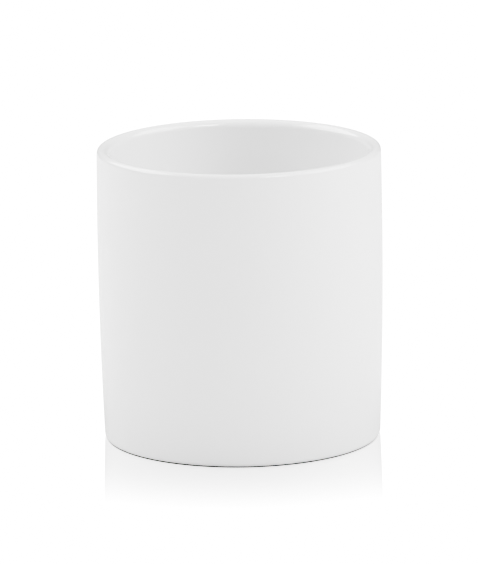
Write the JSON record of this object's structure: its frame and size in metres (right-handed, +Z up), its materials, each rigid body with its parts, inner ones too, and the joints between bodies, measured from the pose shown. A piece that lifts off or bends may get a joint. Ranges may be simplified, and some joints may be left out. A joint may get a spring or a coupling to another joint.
{
  "type": "pen holder cup",
  "caption": "Straight-sided round cup in glazed white ceramic with a rounded rim, open at the top, for standing pens and pencils on a desk.",
  "frame": {"origin": "centre of the foot ring, on the surface that the cup stands on", "axes": "+Z up along the cup's axis; the cup is round, so +X and +Y are any two level directions at a right angle"},
  "size_m": [0.091, 0.091, 0.094],
  "materials": {
    "clay": "matt fired white clay, bare only on the foot ring",
    "glaze": "glossy white glaze"
  },
  "bodies": {
    "root": {"clay_body": "clay", "cup_glaze": "glaze", "underside_glaze": "glaze"}
  },
  "joints": []
}
